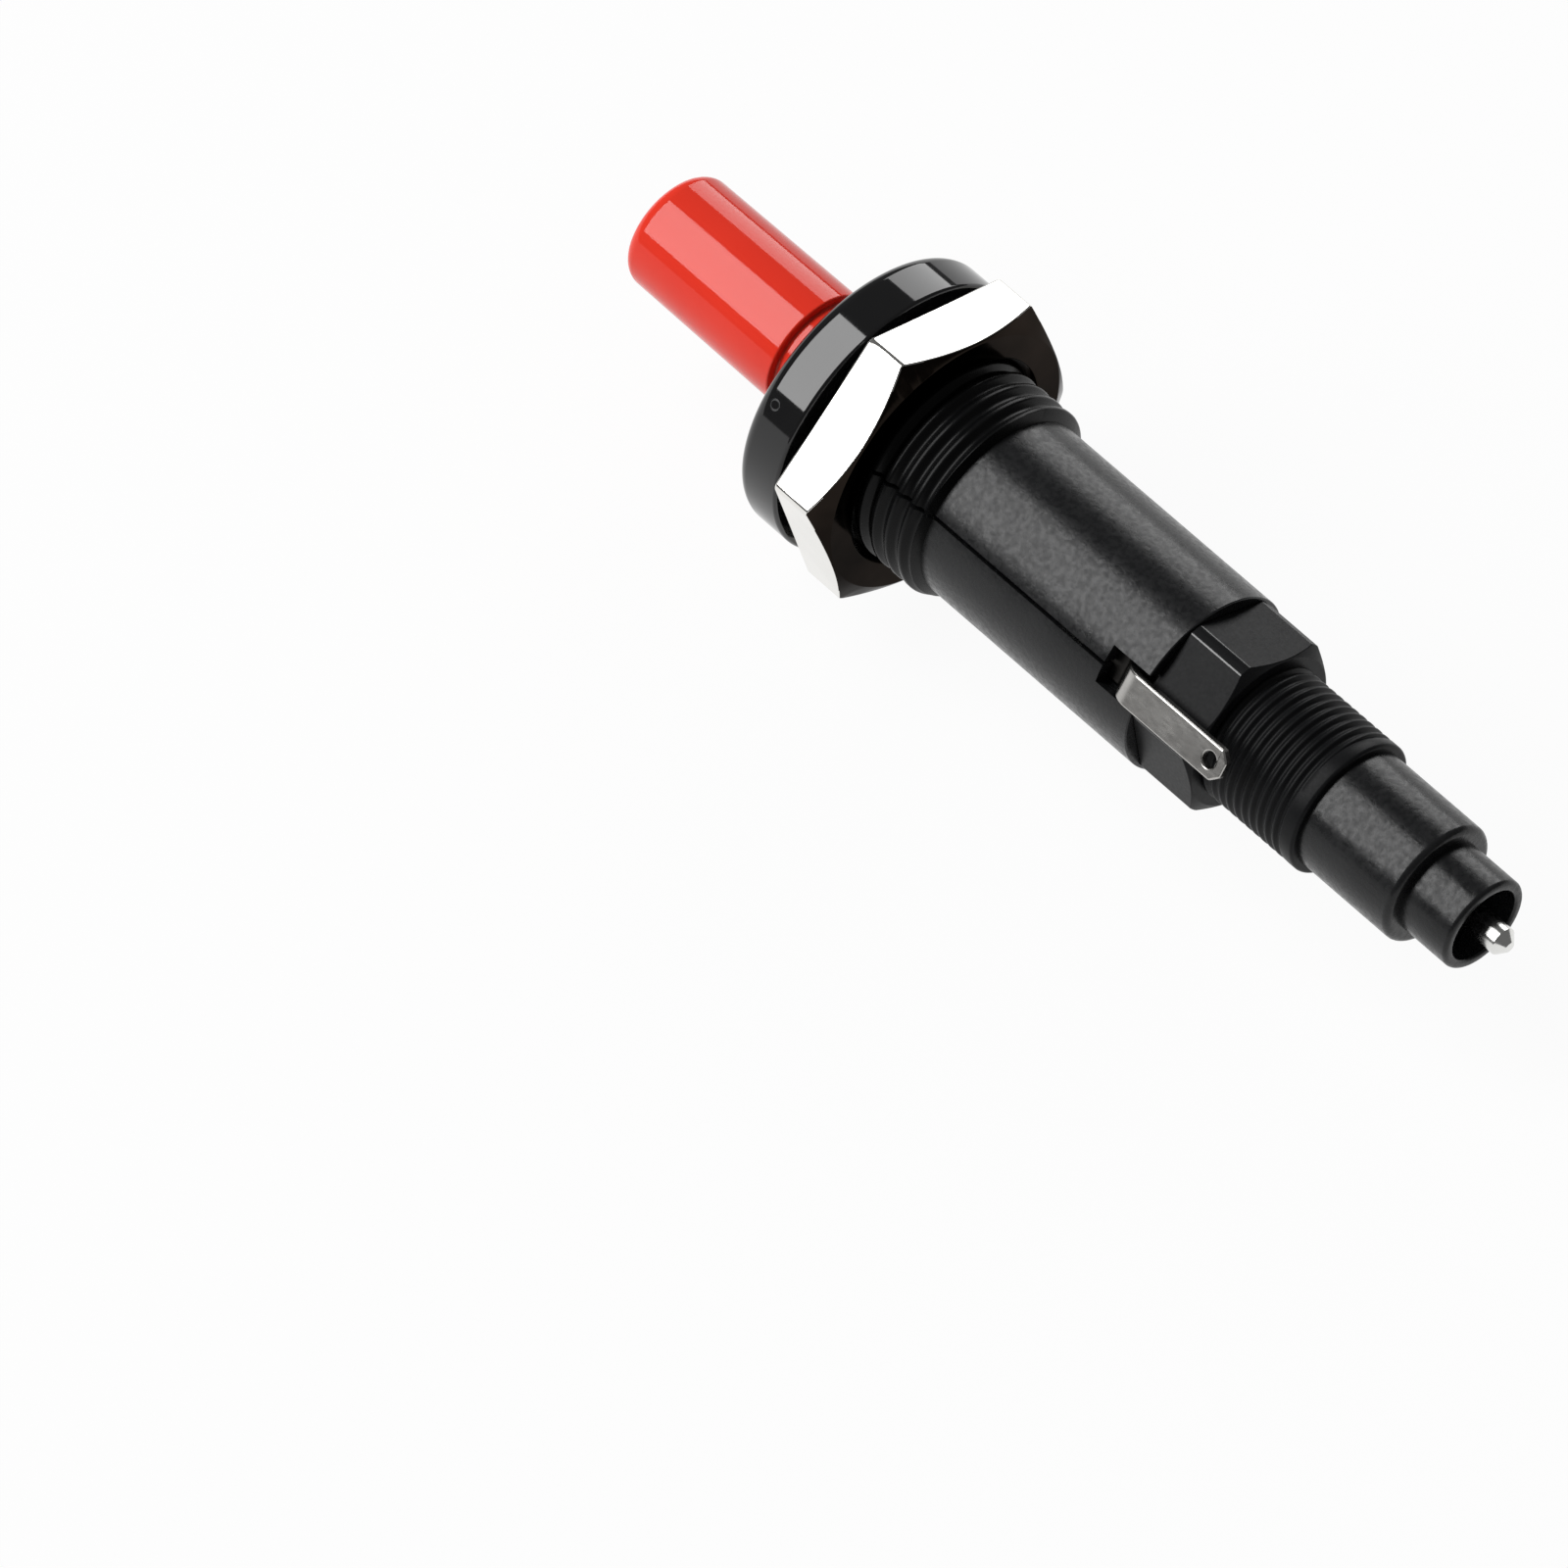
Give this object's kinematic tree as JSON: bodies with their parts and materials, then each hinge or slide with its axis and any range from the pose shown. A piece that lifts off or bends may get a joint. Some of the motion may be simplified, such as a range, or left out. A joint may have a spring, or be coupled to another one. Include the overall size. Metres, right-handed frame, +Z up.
{
  "type": "push-button piezo igniter",
  "caption": "Push-button piezo igniter with a flanged, threaded panel neck, panel nut, spring-driven hammer, crystal stack, blade earth tab and high-voltage terminal pin.",
  "frame": {"origin": "centre of the flange's rear face, where the neck meets it and the panel seats", "axes": "+X along the igniter towards the high-voltage terminal, the button at -X, +Z up"},
  "size_m": [0.094, 0.0268, 0.0268],
  "materials": {
    "black_moulding": "satin black, gloss on the flange",
    "red_moulding": "gloss red",
    "pale_moulding": "natural moulded",
    "bright_nickel": "bright nickel plate",
    "tinned_strip": "tinned, rolled grain",
    "plain_steel": "turned",
    "spring_steel": "drawn wire",
    "piezo_ceramic": "fired ceramic with silvered ends",
    "brass_disc": "rolled brass",
    "clear_insulation": "milky insulating tube"
  },
  "bodies": {
    "housing": {"housing": "black_moulding", "rear_insulator": "black_moulding", "guide_sleeve": "pale_moulding", "anvil": "plain_steel", "earth_washer": "tinned_strip", "ground_strip": "tinned_strip", "piezo_crystal_front": "piezo_ceramic", "crystal_shim": "brass_disc", "piezo_crystal_rear": "piezo_ceramic", "crystal_sleeve": "clear_insulation", "hv_electrode": "plain_steel", "hv_terminal_pin": "bright_nickel", "return_spring": "spring_steel"},
    "button": {"button_cap": "red_moulding", "plunger": "pale_moulding", "spring_seat": "plain_steel", "impact_spring": "spring_steel"},
    "hammer": {"hammer": "plain_steel", "hammer_pin": "plain_steel"},
    "nut": {"hex_nut": "bright_nickel"}
  },
  "joints": [
    {"name": "button_press", "type": "slide", "parent": "housing", "child": "button", "axis": [1, 0, 0], "range_m": [0, 0.008], "stiffness_N_per_m": 1200, "springref_m": -0.003, "deforming": ["return_spring", "impact_spring"]},
    {"name": "hammer_strike", "type": "slide", "parent": "housing", "child": "hammer", "axis": [1, 0, 0], "range_m": [0, 0.004], "stiffness_N_per_m": 300, "springref_m": -0.001, "deforming": ["impact_spring"]},
    {"name": "nut_turn", "type": "hinge", "parent": "housing", "child": "nut", "pos_m": [0.00315, 0, 0], "axis": [1, 0, 0], "continuous": true}
  ]
}
